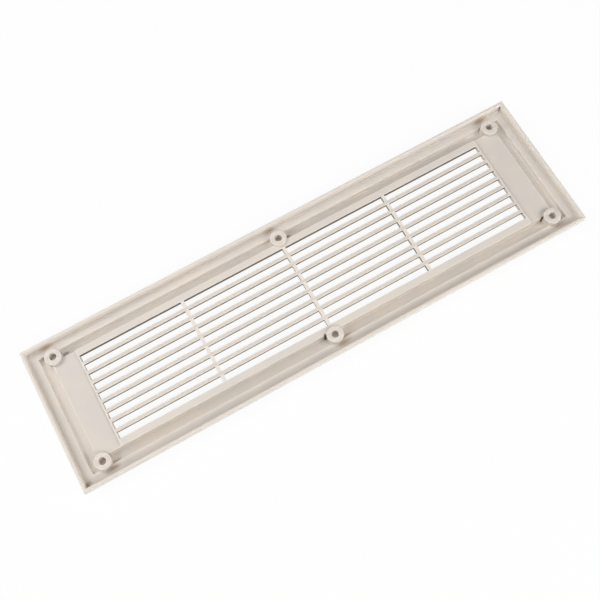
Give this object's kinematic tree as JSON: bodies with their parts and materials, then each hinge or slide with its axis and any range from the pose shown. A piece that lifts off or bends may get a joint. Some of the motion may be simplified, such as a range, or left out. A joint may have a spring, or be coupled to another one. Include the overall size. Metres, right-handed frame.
{
  "type": "louvred air outlet grille",
  "caption": "Long rectangular louvred air outlet grille of cream plastic, back side up: straight slats with cross ribs, a groove with screw bosses round them and a thin rim.",
  "frame": {"origin": "under the middle of the grille, on the plane that its front crown rests on", "axes": "+X along the slats, +Y across them, +Z from the room side (front) to the duct side (back)"},
  "size_m": [0.37, 0.1014, 0.01],
  "materials": {
    "cream_abs": "satin moulded"
  },
  "bodies": {
    "root": {"vent_grille": "cream_abs"}
  },
  "joints": []
}
